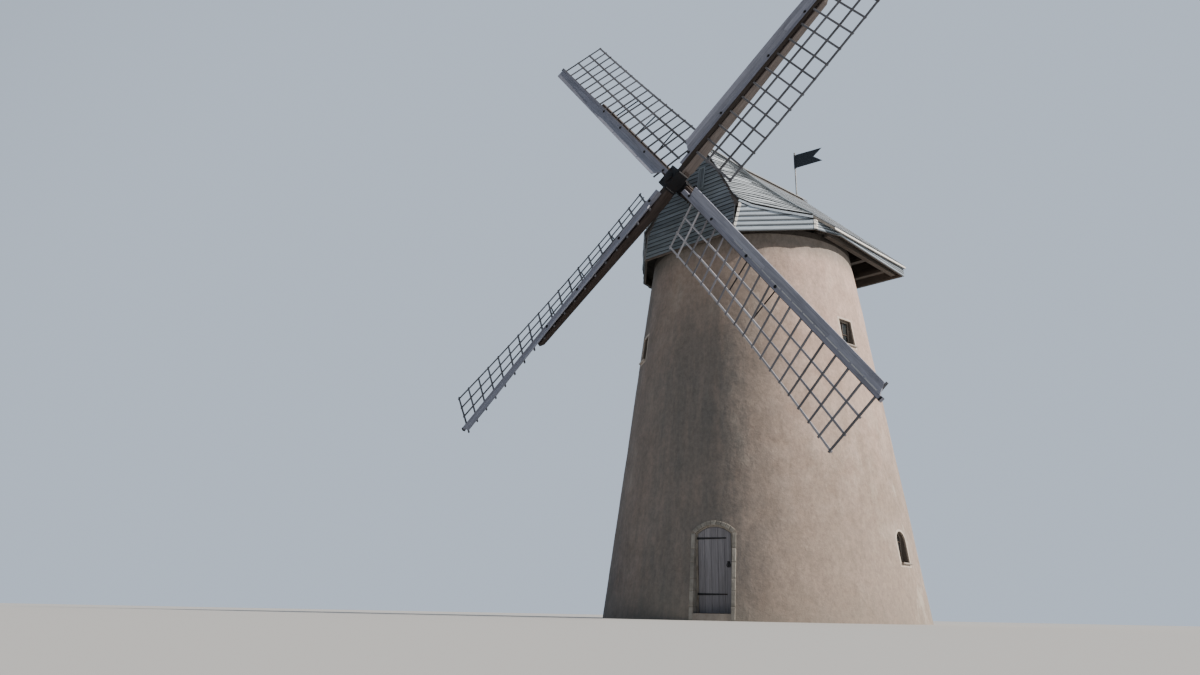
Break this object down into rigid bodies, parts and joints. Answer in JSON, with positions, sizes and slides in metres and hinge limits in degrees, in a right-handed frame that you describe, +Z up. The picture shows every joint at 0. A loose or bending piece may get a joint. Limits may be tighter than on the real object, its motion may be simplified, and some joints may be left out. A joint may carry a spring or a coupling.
{
  "type": "traditional tower windmill",
  "caption": "Round rendered stone tower mill with a boat-shaped boarded cap that turns, four lattice common sails on crossed stocks, a hinged door and a swallow-tail vane.",
  "frame": {"origin": "tower axis at ground level, on the underside of the ground floor", "axes": "+Z up; -Y is the side that the sails face; +X is on the right of a person who looks at the sails"},
  "size_m": [15.8014, 8.8724, 18.9331],
  "materials": {
    "render": "weathered lime render",
    "dressed_stone": "dressed limestone",
    "floor_stone": "worn flags",
    "frame_paint": "weathered pale paint",
    "glass": "dark window glass",
    "floor_boards": "sawn boards",
    "cap_timber": "dark old timber",
    "door_boards": "grey painted boards",
    "black_iron": "black painted iron",
    "cap_boards": "silver-grey weatherboards",
    "bearing_brass": "worn brass",
    "vane_iron": "dark paint",
    "sail_timber": "blue-grey weathered timber",
    "leading_board": "blue-grey weathered boards",
    "shaft_iron": "dark iron",
    "stock_timber": "dark tarred timber",
    "vane_paint": "dark navy paint",
    "sail_lattice": "grey weathered laths"
  },
  "bodies": {
    "tower": {"wall_front": "render", "wall_front_right": "render", "wall_right": "render", "wall_back_right": "render", "wall_back": "render", "wall_back_left": "render", "wall_left": "render", "wall_front_left": "render", "wall_over_door": "render", "door_arch": "dressed_stone", "door_jambs": "dressed_stone", "door_step": "dressed_stone", "door_frame": "frame_paint", "window_frames": "frame_paint", "window_glass": "glass", "ground_floor": "floor_stone", "upper_floor": "floor_boards", "curb_ring": "cap_timber"},
    "door": {"door_leaf": "door_boards", "door_ironwork": "black_iron"},
    "cap": {"sheers": "cap_timber", "cross_timbers": "cap_timber", "side_plates": "cap_timber", "beam_posts": "cap_timber", "weather_beam": "cap_timber", "tail_beam": "cap_timber", "neck_bearing": "bearing_brass", "tail_bearing": "bearing_brass", "front_wall": "cap_boards", "shaft_hatch": "cap_boards", "skirt_right": "cap_boards", "skirt_left": "cap_boards", "bow_roof_right": "cap_boards", "bow_roof_left": "cap_boards", "side_roof_right": "cap_boards", "side_roof_left": "cap_boards", "ridge_cap": "cap_boards", "rear_wall": "cap_boards", "vane_pole": "vane_iron"},
    "sails": {"windshaft": "shaft_iron", "poll_end": "black_iron", "stock_outer": "stock_timber", "stock_inner": "stock_timber", "whips": "sail_timber", "leading_boards": "leading_board", "sail_frame_upper_right": "sail_lattice", "sail_frame_upper_left": "sail_lattice", "sail_frame_lower_left": "sail_lattice", "sail_frame_lower_right": "sail_lattice"},
    "vane": {"vane_banner": "vane_paint"}
  },
  "joints": [
    {"name": "door_swing", "type": "hinge", "parent": "tower", "child": "door", "pos_m": [0.84338, -3.73192, 1.1], "axis": [0, 0, -1], "range_deg": [0, 95]},
    {"name": "cap_turn", "type": "hinge", "parent": "tower", "child": "cap", "pos_m": [0, 0, 9.77], "axis": [0, 0, 1], "continuous": true},
    {"name": "sail_turn", "type": "hinge", "parent": "cap", "child": "sails", "pos_m": [0, -3.623, 11.259], "axis": [0, -0.9852, 0.1714], "continuous": true},
    {"name": "vane_turn", "type": "hinge", "parent": "cap", "child": "vane", "pos_m": [0, 2.785, 13.8], "axis": [0, 0, 1], "continuous": true}
  ]
}
